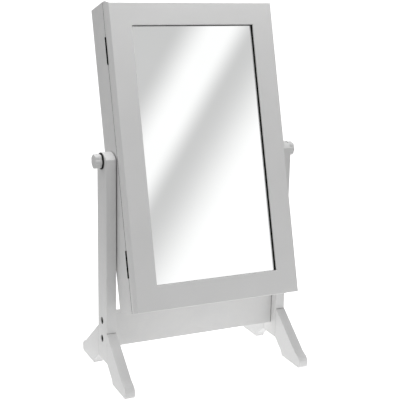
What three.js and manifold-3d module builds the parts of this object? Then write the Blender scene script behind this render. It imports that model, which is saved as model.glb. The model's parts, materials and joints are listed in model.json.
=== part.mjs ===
// Table-top cheval mirror: a shallow jewellery cabinet with a mirrored door, hung between two
// posts on a trestle base. Two screw knobs clamp the cabinet at any lean.
//
// Millimetres. X runs to the right, Y to the back and Z up. The origin is on the table, midway
// between the posts and under the tilt axis. The cabinet leans back, and its door is closed.

import * as THREE from 'three';
import { mergeVertices } from 'three/addons/utils/BufferGeometryUtils.js';
import Module from 'manifold-3d';

const wasm = await Module();
wasm.setup();

// ---- driving dimensions ----

const clearance = 0.3;
const lean = THREE.MathUtils.degToRad(16);

const caseWidth = 300;
const caseHeight = 500;
const caseDepth = 57.6;
const boardThickness = 12;
const backThickness = 3;
const backInset = 4;
const grooveDepth = 4;

const pivotAboveCaseBottom = 248;
const pivotFromCaseBack = 35;
const pivotHeight = 368;

const doorGap = 1.5;
const doorThickness = 15;
const doorFrameWidth = 41;
const doorLip = 3.6;
const doorRebate = 4;
const doorEdgeRadius = 5.5;
const glassThickness = 4;

const postGap = 1.8;
const postThickness = 17;
const postDepth = 44;
const postFoot = 25;
const postShoulder = 373;
const postCrown = 382;

const railBottom = 48;
const railTop = 108;
const railFront = -5;
const railThickness = 15;

const footTop = 79;
const footReach = 111;
const soleHeel = 48.5;
const soleToe = 105;

const studRadius = 3;
const studInKnob = 8;
const insertRadius = 5;
const insertLength = 11;
const spacerRadius = 9;
const knobRadius = 12.3;
const knobLobes = 7;
const knobLength = 11.6;
const knobEdge = 0.8;
const knobHollow = 1.5;
const washerRadius = 13.5;
const washerThickness = 2;

const boltRadius = 3;
const boltHeadRadius = 5.5;
const boltHeadHeight = 4.5;
const boltSocketRadius = 2.9;
const boltSocketDepth = 2.5;
const boltSeat = 6;
const boltSpacing = 32;
const boltLength = 52;
const boltPastBarrel = 8;
const barrelRadius = 5;
const dowelRadius = 4;
const dowelLength = 24;
const dowelBelowFootTop = 17;
const dowelAbovePostFoot = 12;

const hingeHeight = 44;
const hingeFromEnd = 79;
const knuckleRadius = 1.5;
const hingePinRadius = 0.7;
const hingeKnuckles = 5;
const leafThickness = 0.8;
const leafWidth = 10;
const leafInset = 0.2;

const shelfThickness = 6;
const shelfDepth = 40;
const lowerShelfHeight = 92;
const upperShelfHeight = 176;
const shelfFence = 16;
const fenceThickness = 4;
const ringPadLeft = -128;
const ringPadRight = -8;
const ringPadBase = 188;
const ringPadHeight = 84;
const ringPadDepth = 24;
const hookRailBase = 440;
const hookRailHeight = 22;
const hookRailWidth = 240;
const hookRailThickness = 6;
const hookCount = 6;
const hookLength = 16;
const hookRise = 8;
const hookWireRadius = 2;
const catchWidth = 11;
const catchHeight = 40;
const catchDepth = 15;
const strikeHeight = 34;

// ---- derived positions ----

const caseHalf = caseWidth / 2;
const postInner = caseHalf + postGap;
const postOuter = postInner + postThickness;
const postHalf = postDepth / 2;
const boltMiddle = (railBottom + railTop) / 2 + 0.5;
const railMiddle = railFront + railThickness / 2;
const railBack = railFront + railThickness;
const boltFace = postOuter - boltSeat;
const barrelX = boltFace - boltLength + boltPastBarrel;
const washerInner = postOuter + clearance;
const washerOuter = washerInner + washerThickness;
const knobInner = washerOuter + 0.1;
const studReach = caseHalf - 9;

const hingeAxisDepth = caseDepth + doorGap / 2;
const doorBack = caseDepth + doorGap;
const doorFront = doorBack + doorThickness;
const interiorBack = backInset + backThickness;
const interiorHalf = caseHalf - boardThickness;
const fittingBack = interiorBack + clearance;
const catchOuter = interiorHalf - clearance;
const caseLeaf = [hingeAxisDepth - leafInset - leafThickness, hingeAxisDepth - leafInset];
const doorLeaf = [hingeAxisDepth + leafInset, hingeAxisDepth + leafInset + leafThickness];

const openingHalf = caseHalf - doorFrameWidth;
const rebateHalf = openingHalf + doorRebate;
const openingHeights = [doorFrameWidth, caseHeight - doorFrameWidth];
const rebateHeights = [openingHeights[0] - doorRebate, openingHeights[1] + doorRebate];

// Cabinet coordinates: x to the right, y to the back from the tilt axis, z up the case.
const atDepth = (depth) => pivotFromCaseBack - depth;
const atHeight = (height) => height - pivotAboveCaseBottom;

// ---- finishes ----

const finish = (color, roughness, metalness) =>
  () => new THREE.MeshStandardMaterial({ color, roughness, metalness });
const lacquer = finish(0xdedede, 0.45, 0);
const blackSteel = finish(0x1b1b1c, 0.4, 0.8);
const zincSteel = finish(0xb8babd, 0.35, 0.9);
const whitePlastic = finish(0xd6d6d6, 0.4, 0);
const blackRubber = finish(0x141414, 0.7, 0);
const velvet = finish(0x2a292c, 0.95, 0);
const silvering = finish(0xf2f4f5, 0.03, 1);
const beech = finish(0xc9a878, 0.7, 0);

// ---- solids ----

const segmentsFor = (radius) => (radius < 2.5 ? 12 : radius < 8 ? 16 : 32);

function toSolid(geometry) {
  geometry.deleteAttribute('normal');
  geometry.deleteAttribute('uv');
  const merged = mergeVertices(geometry, 1e-4);
  return new wasm.Manifold(new wasm.Mesh({
    numProp: 3,
    vertProperties: new Float32Array(merged.attributes.position.array),
    triVerts: new Uint32Array(merged.index.array),
  }));
}

function toGeometry(solid) {
  const mesh = solid.getMesh();
  const geometry = new THREE.BufferGeometry();
  geometry.setAttribute('position', new THREE.BufferAttribute(mesh.vertProperties, 3));
  geometry.setIndex(new THREE.BufferAttribute(mesh.triVerts, 1));
  geometry.computeVertexNormals();
  return geometry;
}

const range = (a, b) => [Math.min(a, b), Math.max(a, b)];

// A box between two values on each axis, given in any order.
function block([xa, xb], [ya, yb], [za, zb]) {
  const [x0, x1] = range(xa, xb);
  const [y0, y1] = range(ya, yb);
  const [z0, z1] = range(za, zb);
  const geometry = new THREE.BoxGeometry(x1 - x0, y1 - y0, z1 - z0);
  geometry.translate((x0 + x1) / 2, (y0 + y1) / 2, (z0 + z1) / 2);
  return toSolid(geometry);
}

// A round bar from start to end, which differ along one axis or more.
function bar(radius, start, end) {
  const from = new THREE.Vector3(...start);
  const along = new THREE.Vector3(...end).sub(from);
  const geometry = new THREE.CylinderGeometry(radius, radius, along.length(), segmentsFor(radius));
  geometry.translate(0, along.length() / 2, 0);
  const turn = new THREE.Quaternion();
  turn.setFromUnitVectors(new THREE.Vector3(0, 1, 0), along.normalize());
  geometry.applyQuaternion(turn);
  geometry.translate(from.x, from.y, from.z);
  return toSolid(geometry);
}

// An outline in the Y-Z plane, extruded along X.
function extrudeAcross(outline, x0, x1, curveSegments = 8) {
  const options = { depth: x1 - x0, bevelEnabled: false, curveSegments };
  const geometry = new THREE.ExtrudeGeometry(outline, options);
  const alongY = new THREE.Vector3(0, 1, 0);
  const alongZ = new THREE.Vector3(0, 0, 1);
  const alongX = new THREE.Vector3(1, 0, 0);
  geometry.applyMatrix4(new THREE.Matrix4().makeBasis(alongY, alongZ, alongX));
  geometry.translate(x0, 0, 0);
  return toSolid(geometry);
}

const union = (solids) => solids.reduce((sum, next) => sum.add(next));
const cutAll = (solid, cutters) => cutters.reduce((rest, next) => rest.subtract(next), solid);

function piece(group, name, solid, material) {
  const mesh = new THREE.Mesh(toGeometry(solid), material());
  mesh.name = name;
  group.add(mesh);
}

const sides = [
  { name: 'left', sign: -1 },
  { name: 'right', sign: 1 },
];
const ends = [
  { name: 'front', sign: -1 },
  { name: 'back', sign: 1 },
];
const boltHeights = [
  { name: 'upper', z: boltMiddle + boltSpacing / 2 },
  { name: 'lower', z: boltMiddle - boltSpacing / 2 },
];
const dowelHeights = [
  { name: 'upper', z: footTop - dowelBelowFootTop },
  { name: 'lower', z: postFoot + dowelAbovePostFoot },
];
const hingeCentres = [
  { name: 'upper', z: atHeight(caseHeight - hingeFromEnd) },
  { name: 'lower', z: atHeight(hingeFromEnd) },
];
const hingeY = atDepth(hingeAxisDepth);

// ---- the stand ----

// A post: flat sides, and a shallow arch across the top.
function postOutline() {
  const rise = postCrown - postShoulder;
  const archRadius = (postHalf ** 2 + rise ** 2) / (2 * rise);
  const half = Math.asin(postHalf / archRadius);
  const outline = new THREE.Shape();
  outline.moveTo(-postHalf, postFoot);
  outline.lineTo(postHalf, postFoot);
  outline.lineTo(postHalf, postShoulder);
  const centre = postCrown - archRadius;
  outline.absarc(0, centre, archRadius, Math.PI / 2 - half, Math.PI / 2 + half, false);
  outline.closePath();
  return outline;
}

// A hole across a post, from one value of x to another, on either side.
function crossHole(side, radius, [xa, xb], y, z) {
  return bar(radius, [side.sign * xa, y, z], [side.sign * xb, y, z]);
}

function makePost(group, side) {
  const [x0, x1] = range(side.sign * postInner, side.sign * postOuter);
  const through = [postInner - 1, postOuter + 1];
  const cutters = [crossHole(side, studRadius + clearance, through, 0, pivotHeight)];
  for (const { z } of boltHeights) {
    cutters.push(crossHole(side, boltRadius + clearance, through, railMiddle, z));
    const recess = boltHeadRadius + 2 * clearance;
    cutters.push(crossHole(side, recess, [boltFace, postOuter + 1], railMiddle, z));
  }
  for (const end of ends) {
    cutters.push(...dowelHeights.map(({ z }) => dowelHole(side, end, z)));
  }
  const solid = cutAll(extrudeAcross(postOutline(), x0, x1, 12), cutters);
  piece(group, `${side.name}_post`, solid, lacquer);
}

// A dowel's hole runs on into both the post and the foot, with room at each end for glue.
function dowelHole(side, end, z) {
  const x = side.sign * (postInner + postThickness / 2);
  const half = dowelLength / 2 + 1;
  return bar(dowelRadius + clearance,
    [x, end.sign * (postHalf - half), z], [x, end.sign * (postHalf + half), z]);
}

// A foot in side view, reaching forward: a sloping top, a blunt rounded toe, a flat sole, and a
// hollow cut back to the foot of the post.
function footOutline() {
  const near = -(postHalf + clearance / 3);
  const outline = new THREE.Shape();
  outline.moveTo(near, postFoot + 0.5);
  outline.lineTo(near, footTop);
  outline.lineTo(near - 4, footTop - 1.5);
  outline.lineTo(-92, 26);
  outline.quadraticCurveTo(-98, 22.6, -103, 20.5);
  outline.quadraticCurveTo(-108.6, 18, -footReach, 12);
  outline.lineTo(-footReach, 6);
  outline.quadraticCurveTo(-footReach, 0, -soleToe, 0);
  outline.lineTo(-soleHeel, 0);
  outline.quadraticCurveTo(-47.5, 4.5, -44, 8);
  outline.closePath();
  return outline;
}

function makeFoot(group, side, end) {
  const [x0, x1] = range(side.sign * postInner, side.sign * postOuter);
  const front = extrudeAcross(footOutline(), x0, x1, 4);
  const placed = end.sign < 0 ? front : front.mirror([0, 1, 0]);
  const solid = cutAll(placed, dowelHeights.map(({ z }) => dowelHole(side, end, z)));
  piece(group, `${end.name}_${side.name}_foot`, solid, lacquer);
}

function makeDowels(group, side, end) {
  const x = side.sign * (postInner + postThickness / 2);
  const half = dowelLength / 2;
  for (const { name, z } of dowelHeights) {
    const solid = bar(dowelRadius,
      [x, end.sign * (postHalf - half), z], [x, end.sign * (postHalf + half), z]);
    piece(group, `${end.name}_${side.name}_dowel_${name}`, solid, beech);
  }
}

// The rail between the posts. Each end takes two bolts, and each bolt screws into a barrel nut
// that was dropped into a cross hole from behind.
function makeRail(group) {
  const reach = postInner - clearance / 3;
  const rail = block([-reach, reach], [railFront, railBack], [railBottom, railTop]);
  const cutters = [];
  for (const side of sides) {
    const x = side.sign * barrelX;
    for (const { z } of boltHeights) {
      const boltRun = [boltFace - boltLength - 3, reach + 1];
      cutters.push(crossHole(side, boltRadius + clearance, boltRun, railMiddle, z));
      cutters.push(bar(barrelRadius + clearance, [x, railMiddle - 6, z], [x, railBack + 1, z]));
    }
  }
  piece(group, 'cross_rail', cutAll(rail, cutters), lacquer);
}

function makeBolt(group, side, height) {
  const at = (x) => [side.sign * x, railMiddle, height.z];
  const seat = boltFace + 0.2;
  const shank = bar(boltRadius, at(seat + 1), at(seat - boltLength));
  const head = bar(boltHeadRadius, at(seat), at(seat + boltHeadHeight));
  const socket = new THREE.CylinderGeometry(boltSocketRadius, boltSocketRadius, 2 * boltSocketDepth, 6);
  socket.rotateZ(Math.PI / 2);
  socket.translate(...at(seat + boltHeadHeight));
  const solid = shank.add(head).subtract(toSolid(socket));
  piece(group, `rail_bolt_${side.name}_${height.name}`, solid, blackSteel);
}

function makeBarrelNut(group, side, height) {
  const at = (y) => [side.sign * barrelX, y, height.z];
  const nut = bar(barrelRadius, at(railMiddle - 5.7), at(railBack - 1.2));
  const boreRun = [barrelX - 8, barrelX + 8];
  const bore = crossHole(side, boltRadius + clearance, boreRun, railMiddle, height.z);
  piece(group, `barrel_nut_${side.name}_${height.name}`, nut.subtract(bore), zincSteel);
}

// ---- the clamping knobs ----

// A grip with rounded lobes: each lobe's radius swings between the crest and the hollow.
function knobOutline() {
  const outline = new THREE.Shape();
  const steps = knobLobes * 8;
  for (let i = 0; i < steps; i += 1) {
    const angle = (2 * Math.PI * i) / steps;
    const lobe = Math.sqrt(Math.abs(Math.cos((knobLobes * angle) / 2)));
    const radius = knobRadius - knobEdge - knobHollow * (1 - lobe);
    const y = radius * Math.cos(angle + Math.PI);
    const z = radius * Math.sin(angle + Math.PI);
    if (i === 0) {
      outline.moveTo(y, z);
    } else {
      outline.lineTo(y, z);
    }
  }
  outline.closePath();
  return outline;
}

function makeKnob(group, side) {
  const geometry = new THREE.ExtrudeGeometry(knobOutline(), {
    depth: knobLength - 2 * knobEdge,
    bevelThickness: knobEdge,
    bevelSize: knobEdge,
    bevelSegments: 2,
  });
  const axes = [new THREE.Vector3(0, 1, 0), new THREE.Vector3(0, 0, 1), new THREE.Vector3(1, 0, 0)];
  geometry.applyMatrix4(new THREE.Matrix4().makeBasis(...axes));
  geometry.translate(knobInner + knobEdge, 0, 0);
  const right = toSolid(geometry);
  const grip = side.sign > 0 ? right : right.mirror([1, 0, 0]);
  const at = (x) => [side.sign * x, 0, 0];
  const studEnd = knobInner + studInKnob;
  const socket = bar(studRadius + clearance, at(knobInner - 1), at(studEnd + clearance));
  const stud = bar(studRadius, at(studReach), at(studEnd));
  const knob = new THREE.Group();
  knob.position.set(0, 0, pivotHeight);
  piece(knob, `${side.name}_knob_grip`, grip.subtract(socket), whitePlastic);
  piece(knob, `${side.name}_knob_stud`, stud, zincSteel);
  const washer = bar(washerRadius, at(washerInner), at(washerOuter));
  const hole = bar(studRadius + clearance, at(washerInner - 1), at(washerOuter + 1));
  piece(knob, `${side.name}_knob_washer`, washer.subtract(hole), blackRubber);
  group.add(knob);
}

// ---- the cabinet ----

// The pocket that a hinge needs in the edges it joins: a round relief for the knuckle, and a
// shallow bed for each leaf.
function hingePocket(centre, depthFrom, depthTo) {
  const half = hingeHeight / 2 + clearance;
  const z = [centre.z - half, centre.z + half];
  const relief = bar(knuckleRadius + clearance, [-caseHalf, hingeY, z[0]], [-caseHalf, hingeY, z[1]]);
  const across = [-caseHalf - 1, -caseHalf + leafWidth + clearance];
  return relief.add(block(across, [atDepth(depthFrom), atDepth(depthTo)], z));
}

function makeSideBoard(group, side) {
  const board = block([side.sign * interiorHalf, side.sign * caseHalf],
    [atDepth(0), atDepth(caseDepth)], [atHeight(0), atHeight(caseHeight)]);
  const groove = block([side.sign * (interiorHalf - 1), side.sign * (interiorHalf + grooveDepth)],
    [atDepth(backInset - clearance), atDepth(interiorBack + clearance)],
    [atHeight(boardThickness - grooveDepth), atHeight(caseHeight - boardThickness + grooveDepth)]);
  const insertHole = bar(insertRadius + clearance,
    [side.sign * (caseHalf - insertLength - clearance), 0, 0], [side.sign * (caseHalf + 1), 0, 0]);
  const cutters = [groove, insertHole];
  if (side.sign < 0) {
    for (const centre of hingeCentres) {
      cutters.push(hingePocket(centre, caseLeaf[0] - clearance, doorBack));
    }
  }
  piece(group, `case_${side.name}_side`, cutAll(board, cutters), lacquer);
}

function makeEndBoard(group, name, low) {
  const reach = interiorHalf - clearance;
  const board = block([-reach, reach], [atDepth(0), atDepth(caseDepth)],
    [atHeight(low), atHeight(low + boardThickness)]);
  const inner = low === 0 ? boardThickness : caseHeight - boardThickness;
  const groove = block([-reach - 1, reach + 1],
    [atDepth(backInset - clearance), atDepth(interiorBack + clearance)],
    [atHeight(inner - grooveDepth), atHeight(inner + grooveDepth)]);
  piece(group, name, board.subtract(groove), lacquer);
}

function makeBackPanel(group) {
  const reach = interiorHalf + grooveDepth - clearance;
  const margin = boardThickness - grooveDepth + clearance;
  const panel = block([-reach, reach], [atDepth(backInset), atDepth(interiorBack)],
    [atHeight(margin), atHeight(caseHeight - margin)]);
  piece(group, 'case_back_panel', panel, lacquer);
}

// The insert in each side board that the knob's stud screws into, and the spacer on its face.
function makePivotFittings(group, side) {
  const at = (x) => [side.sign * x, 0, 0];
  const hole = bar(studRadius + clearance, at(studReach - 10), at(postInner + 1));
  const insert = bar(insertRadius, at(caseHalf - insertLength), at(caseHalf));
  piece(group, `${side.name}_pivot_insert`, insert.subtract(hole), zincSteel);
  const spacer = bar(spacerRadius, at(caseHalf + clearance), at(postInner - clearance));
  piece(group, `${side.name}_pivot_spacer`, spacer.subtract(hole), blackRubber);
}

function makeShelf(group, name, height) {
  const reach = interiorHalf - clearance;
  const front = fittingBack + shelfDepth;
  const board = block([-reach, reach], [atDepth(fittingBack), atDepth(front)],
    [atHeight(height), atHeight(height + shelfThickness)]);
  const fence = block([-reach, reach], [atDepth(front - fenceThickness), atDepth(front)],
    [atHeight(height + shelfThickness - 1), atHeight(height + shelfFence)]);
  piece(group, name, board.add(fence), lacquer);
}

// A rail with peg hooks, for necklaces. Each peg turns up at its tip.
function makeHookRail(group) {
  const base = atHeight(hookRailBase);
  const pegHeight = base + hookRailHeight * 0.4;
  const front = fittingBack + hookRailThickness;
  const tip = front + hookLength;
  const end = hookRailWidth / 2;
  const parts = [block([-end, end], [atDepth(fittingBack), atDepth(front)], [base, base + hookRailHeight])];
  const pitch = hookRailWidth / hookCount;
  for (let i = 0; i < hookCount; i += 1) {
    const x = -end + pitch * (i + 0.5);
    const upright = atDepth(tip - 0.95 * hookWireRadius);
    parts.push(bar(hookWireRadius, [x, atDepth(front - 1), pegHeight], [x, atDepth(tip), pegHeight]));
    parts.push(bar(hookWireRadius,
      [x, upright, pegHeight - 0.9 * hookWireRadius], [x, upright, pegHeight + hookRise]));
  }
  piece(group, 'hook_rail', union(parts), blackSteel);
}

// A padded block whose ridges hold rings.
function makeRingPad(group) {
  const depths = [atDepth(fittingBack), atDepth(fittingBack + ringPadDepth)];
  const heights = [atHeight(ringPadBase), atHeight(ringPadBase + ringPadHeight)];
  const pad = block([ringPadLeft, ringPadRight], depths, heights);
  piece(group, 'ring_pad', pad, velvet);
}

// The catch on the right side board, at the height of the tilt axis.
function makeMagnetCatch(group) {
  const body = block([catchOuter - catchWidth, catchOuter],
    [atDepth(caseDepth - catchDepth), atDepth(caseDepth - 2 * clearance)],
    [-catchHeight / 2, catchHeight / 2]);
  piece(group, 'magnet_catch', body, whitePlastic);
}

// The plate on the door's back that the catch holds.
function makeStrikePlate(group) {
  const plate = block([catchOuter - catchWidth, catchOuter - 1],
    [atDepth(caseDepth - clearance), atDepth(doorBack - clearance)],
    [-strikeHeight / 2, strikeHeight / 2]);
  piece(group, 'strike_plate', plate, zincSteel);
}

// ---- hinges ----

// One leaf: a plate and its share of the knuckles, bored for the pin.
function hingeLeaf(centre, depths, owned) {
  const bottom = centre.z - hingeHeight / 2;
  const step = hingeHeight / hingeKnuckles;
  const plateFrom = -caseHalf + knuckleRadius + clearance;
  const middle = [atDepth(depths[0]), atDepth(depths[1])];
  const parts = [block([plateFrom, -caseHalf + leafWidth], middle, [bottom, bottom + hingeHeight])];
  for (let i = 0; i < hingeKnuckles; i += 1) {
    if (owned(i)) {
      const z = [bottom + i * step + clearance / 2, bottom + (i + 1) * step - clearance / 2];
      parts.push(bar(knuckleRadius, [-caseHalf, hingeY, z[0]], [-caseHalf, hingeY, z[1]]));
      parts.push(block([-caseHalf + 0.9, plateFrom + 0.1], middle, z));
    }
  }
  const bore = bar(hingePinRadius + 0.2,
    [-caseHalf, hingeY, bottom - 1], [-caseHalf, hingeY, bottom + hingeHeight + 1]);
  return union(parts).subtract(bore);
}

function makeHingePin(group, centre) {
  const half = hingeHeight / 2;
  const pin = bar(hingePinRadius,
    [-caseHalf, hingeY, centre.z - half], [-caseHalf, hingeY, centre.z + half]);
  piece(group, `hinge_pin_${centre.name}`, pin, blackSteel);
}

// ---- the door ----

// The outer block of the door: a slab whose four front edges are rounded over.
function doorBlank() {
  const r = doorEdgeRadius;
  const shoulder = atDepth(doorFront - r);
  const layers = [block([-caseHalf, caseHalf], [shoulder, atDepth(doorBack)],
    [atHeight(0), atHeight(caseHeight)])];
  const steps = 5;
  for (let i = 0; i < steps; i += 1) {
    const a = (Math.PI / 2) * (i / steps);
    const b = (Math.PI / 2) * ((i + 1) / steps);
    layers.push(frustum(r, a, b, shoulder));
  }
  return union(layers);
}

// One course of the rounded edge, between two angles of its quarter circle.
function frustum(r, a, b, base) {
  const ring = (angle) => ({
    x: caseHalf - r * (1 - Math.cos(angle)),
    low: atHeight(0) + r * (1 - Math.cos(angle)),
    high: atHeight(caseHeight) - r * (1 - Math.cos(angle)),
    y: base - r * Math.sin(angle),
  });
  const [back, front] = [ring(a), ring(b)];
  const corners = [back, front].flatMap(({ x, low, high, y }) => [
    [-x, y, low], [x, y, low], [x, y, high], [-x, y, high],
  ]);
  const geometry = new THREE.BufferGeometry();
  geometry.setAttribute('position', new THREE.Float32BufferAttribute(corners.flat(), 3));
  geometry.setIndex([
    0, 2, 1, 0, 3, 2, 4, 5, 6, 4, 6, 7,
    0, 1, 5, 0, 5, 4, 1, 2, 6, 1, 6, 5,
    2, 3, 7, 2, 7, 6, 3, 0, 4, 3, 4, 7,
  ]);
  return toSolid(geometry);
}

function makeDoorFrame(group) {
  const through = [atDepth(doorBack - 1), atDepth(doorFront + 1)];
  const opening = block([-openingHalf, openingHalf], through, openingHeights.map(atHeight));
  const rebate = block([-rebateHalf, rebateHalf],
    [atDepth(doorBack - 1), atDepth(doorFront - doorLip)], rebateHeights.map(atHeight));
  const cutters = [opening, rebate];
  for (const centre of hingeCentres) {
    cutters.push(hingePocket(centre, doorLeaf[1] + clearance, caseDepth));
  }
  piece(group, 'door_frame', cutAll(doorBlank(), cutters), lacquer);
}

function makePane(group, name, depths, material) {
  const half = rebateHalf - clearance;
  const heights = [rebateHeights[0] + clearance, rebateHeights[1] - clearance];
  const solid = block([-half, half], depths.map(atDepth), heights.map(atHeight));
  piece(group, name, solid, material);
}

// ---- assembly ----

function makeStand() {
  const stand = new THREE.Group();
  for (const side of sides) {
    makePost(stand, side);
    for (const end of ends) {
      makeFoot(stand, side, end);
      makeDowels(stand, side, end);
    }
    for (const height of boltHeights) {
      makeBolt(stand, side, height);
      makeBarrelNut(stand, side, height);
    }
  }
  makeRail(stand);
  return stand;
}

function makeCabinet() {
  const cabinet = new THREE.Group();
  for (const side of sides) {
    makeSideBoard(cabinet, side);
    makePivotFittings(cabinet, side);
  }
  makeEndBoard(cabinet, 'case_bottom', 0);
  makeEndBoard(cabinet, 'case_top', caseHeight - boardThickness);
  makeBackPanel(cabinet);
  makeShelf(cabinet, 'lower_shelf', lowerShelfHeight);
  makeShelf(cabinet, 'upper_shelf', upperShelfHeight);
  makeHookRail(cabinet);
  makeRingPad(cabinet);
  makeMagnetCatch(cabinet);
  for (const centre of hingeCentres) {
    const leaf = hingeLeaf(centre, caseLeaf, (i) => i % 2 === 0);
    piece(cabinet, `case_hinge_leaf_${centre.name}`, leaf, blackSteel);
    makeHingePin(cabinet, centre);
  }
  return cabinet;
}

function makeDoor() {
  const door = new THREE.Group();
  const glassFront = doorFront - doorLip - clearance;
  const glassBack = glassFront - glassThickness;
  makeDoorFrame(door);
  makePane(door, 'mirror_glass', [glassBack, glassFront], silvering);
  makePane(door, 'mirror_backing', [doorBack + clearance, glassBack - clearance], velvet);
  makeStrikePlate(door);
  for (const centre of hingeCentres) {
    const leaf = hingeLeaf(centre, doorLeaf, (i) => i % 2 === 1);
    piece(door, `door_hinge_leaf_${centre.name}`, leaf, blackSteel);
  }
  return door;
}

// The cabinet and its door share one frame, which leans back about the tilt axis.
const leaning = new THREE.Group();
leaning.position.set(0, 0, pivotHeight);
leaning.rotation.x = -lean;
leaning.add(makeCabinet(), makeDoor());

const mirror = new THREE.Group();
mirror.add(makeStand(), leaning);
for (const side of sides) makeKnob(mirror, side);

export default mirror;
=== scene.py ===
import json
import math

import bmesh
import bpy
from mathutils import Matrix, Vector, noise


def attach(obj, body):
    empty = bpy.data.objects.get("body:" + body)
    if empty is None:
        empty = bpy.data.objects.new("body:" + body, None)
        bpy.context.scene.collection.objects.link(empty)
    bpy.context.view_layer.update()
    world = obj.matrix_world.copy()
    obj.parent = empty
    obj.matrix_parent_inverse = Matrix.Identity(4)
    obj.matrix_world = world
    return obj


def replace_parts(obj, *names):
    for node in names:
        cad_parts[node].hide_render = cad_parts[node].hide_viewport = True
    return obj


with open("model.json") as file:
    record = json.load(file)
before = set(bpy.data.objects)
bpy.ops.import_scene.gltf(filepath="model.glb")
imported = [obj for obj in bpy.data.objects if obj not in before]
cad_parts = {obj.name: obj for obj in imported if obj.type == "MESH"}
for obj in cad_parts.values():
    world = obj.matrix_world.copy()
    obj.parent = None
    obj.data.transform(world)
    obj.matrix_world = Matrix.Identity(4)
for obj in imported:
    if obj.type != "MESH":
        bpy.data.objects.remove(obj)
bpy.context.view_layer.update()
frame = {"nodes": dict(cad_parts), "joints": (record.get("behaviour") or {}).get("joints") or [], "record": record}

# A table-top cheval mirror: a shallow cabinet with a mirrored door, hung between two posts.
# Every CAD node is replaced by a finer piece of the same size, in the same place. Lengths are
# in metres; MM turns millimetres into metres.

MM = 0.001

# ---- what the frame says ----

RECORD = frame["record"]
NODES = frame["nodes"]
JOINTS = {joint["name"]: joint for joint in frame["joints"]}
BODY_OF = {node: body for body, nodes in RECORD["behaviour"]["bodies"].items() for node in nodes}
SLOT_OF = {part["node"]: part["material_slot"] for part in RECORD["subparts"]}

PIVOT = Vector(JOINTS["cabinet_tilt"]["pos_m"])
HINGE_AXIS = Vector(JOINTS["door_swing"]["axis"])
LEAN = math.atan2(-HINGE_AXIS.y, -HINGE_AXIS.z)

# Stand coordinates are the frame's own. Cabinet coordinates have their origin on the tilt axis,
# y to the back through the case and z up the case.
STAND = Matrix.Identity(4)
CABINET = Matrix.Translation(PIVOT) @ Matrix.Rotation(-LEAN, 4, "X")
HINGE = CABINET.inverted() @ Vector(JOINTS["door_swing"]["pos_m"])
HINGE_LINE = Vector((HINGE.x, HINGE.y, 0))
IN_CABINET = ("cabinet", "door")  # the bodies whose pieces are built in cabinet coordinates
PLACE_OF = {node: CABINET if body in IN_CABINET else STAND for node, body in BODY_OF.items()}

GAP = 0.3 * MM  # the room that neighbouring pieces leave each other
TOUCH = 0.01 * MM  # points closer than this are taken as one
SIDES = {"left": -1, "right": 1}
ENDS = ("front", "back")
LEVELS = ("upper", "lower")


def box_of(node):
    """Lowest and highest corner of a CAD node, in the stand's or the cabinet's coordinates."""
    back = PLACE_OF[node].inverted()
    points = [back @ v.co for v in NODES[node].data.vertices]
    return Vector(map(min, *points)), Vector(map(max, *points))


def middle(box):
    return (box[0] + box[1]) / 2


def inner_and_outer(node, sign):
    """The x of a node's inner and outer face on that side."""
    low, high = box_of(node)
    return (low.x, high.x) if sign > 0 else (high.x, low.x)


# ---- shapes ----

CORNER = math.radians(32)  # an outline that turns more than this has a corner, not a curve
TIP = 0.95  # how much of a dome's quarter turn comes before its flat tip


def loft(rings, closed=False):
    """A skin over rings of points, each ring as long as the next. An open one gets flat caps."""
    bm = bmesh.new()
    loops = [[bm.verts.new(point) for point in ring] for ring in rings]
    pairs = list(zip(loops, loops[1:]))
    if closed:
        pairs.append((loops[-1], loops[0]))
    for first, second in pairs:
        count = len(first)
        for i in range(count):
            j = (i + 1) % count
            bm.faces.new((first[i], first[j], second[j], second[i]))
    if not closed:
        bm.faces.new(reversed(loops[0]))
        bm.faces.new(loops[-1])
    bmesh.ops.recalc_face_normals(bm, faces=bm.faces)
    return bm


def circle(base, axis, along, radius, count, bend=None):
    """A ring about the line through base that runs along X, Y or Z. bend may change the radius."""
    k = "XYZ".index(axis)
    ring = []
    for i in range(count):
        angle = 2 * math.pi * i / count
        reach = bend(radius, angle, along) if bend else radius
        point = Vector(base)
        point[k] += along
        point[(k + 1) % 3] += reach * math.cos(angle)
        point[(k + 2) % 3] += reach * math.sin(angle)
        ring.append(point)
    return ring


def turned(base, axis, profile, count=48, bend=None, closed=False):
    """A turned solid: its profile is a list of (distance along the axis, radius)."""
    rings = [circle(base, axis, along, radius, count, bend) for along, radius in profile]
    return loft(rings, closed)


def quarter(steps):
    """Steps of a quarter turn, from 0 to 90 degrees."""
    return [math.pi / 2 * i / steps for i in range(steps + 1)]


def barrel(start, end, radius, edge, steps=4):
    """The profile of a cylinder with rounded rims, from start to end along its axis."""
    sign = 1 if end > start else -1
    rim = [(edge * (1 - math.cos(t)), radius - edge * (1 - math.sin(t))) for t in quarter(steps)]
    opening = [(start + sign * along, reach) for along, reach in rim]
    closing = [(end - sign * along, reach) for along, reach in reversed(rim)]
    return opening + closing


def collar(start, end, radius, bore, edge):
    """The closed profile of a ring: the rounded rim outside, and a plain bore."""
    return barrel(start, end, radius, edge, 3) + [(end, bore), (start, bore)]


def rounded_box(box, radius, segments=3):
    """A box whose twelve edges are rounded."""
    bm = bmesh.new()
    bmesh.ops.create_cube(bm, size=1)
    centre, size = middle(box), box[1] - box[0]
    for vert in bm.verts:
        vert.co = Vector(c + s * v for c, s, v in zip(centre, size, vert.co))
    round_edges(bm, bm.edges[:], radius, segments)
    return bm


def round_edges(bm, edges, radius, segments=3):
    bmesh.ops.bevel(bm, geom=edges, offset=radius, offset_type="OFFSET", segments=segments,
                    profile=0.5, affect="EDGES", clamp_overlap=False)
    bmesh.ops.recalc_face_normals(bm, faces=bm.faces)


def drill(base, axis, start, end, radius, count=32):
    """A plain cylinder to cut a bore with."""
    return turned(base, axis, [(start, radius), (end, radius)], count)


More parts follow.
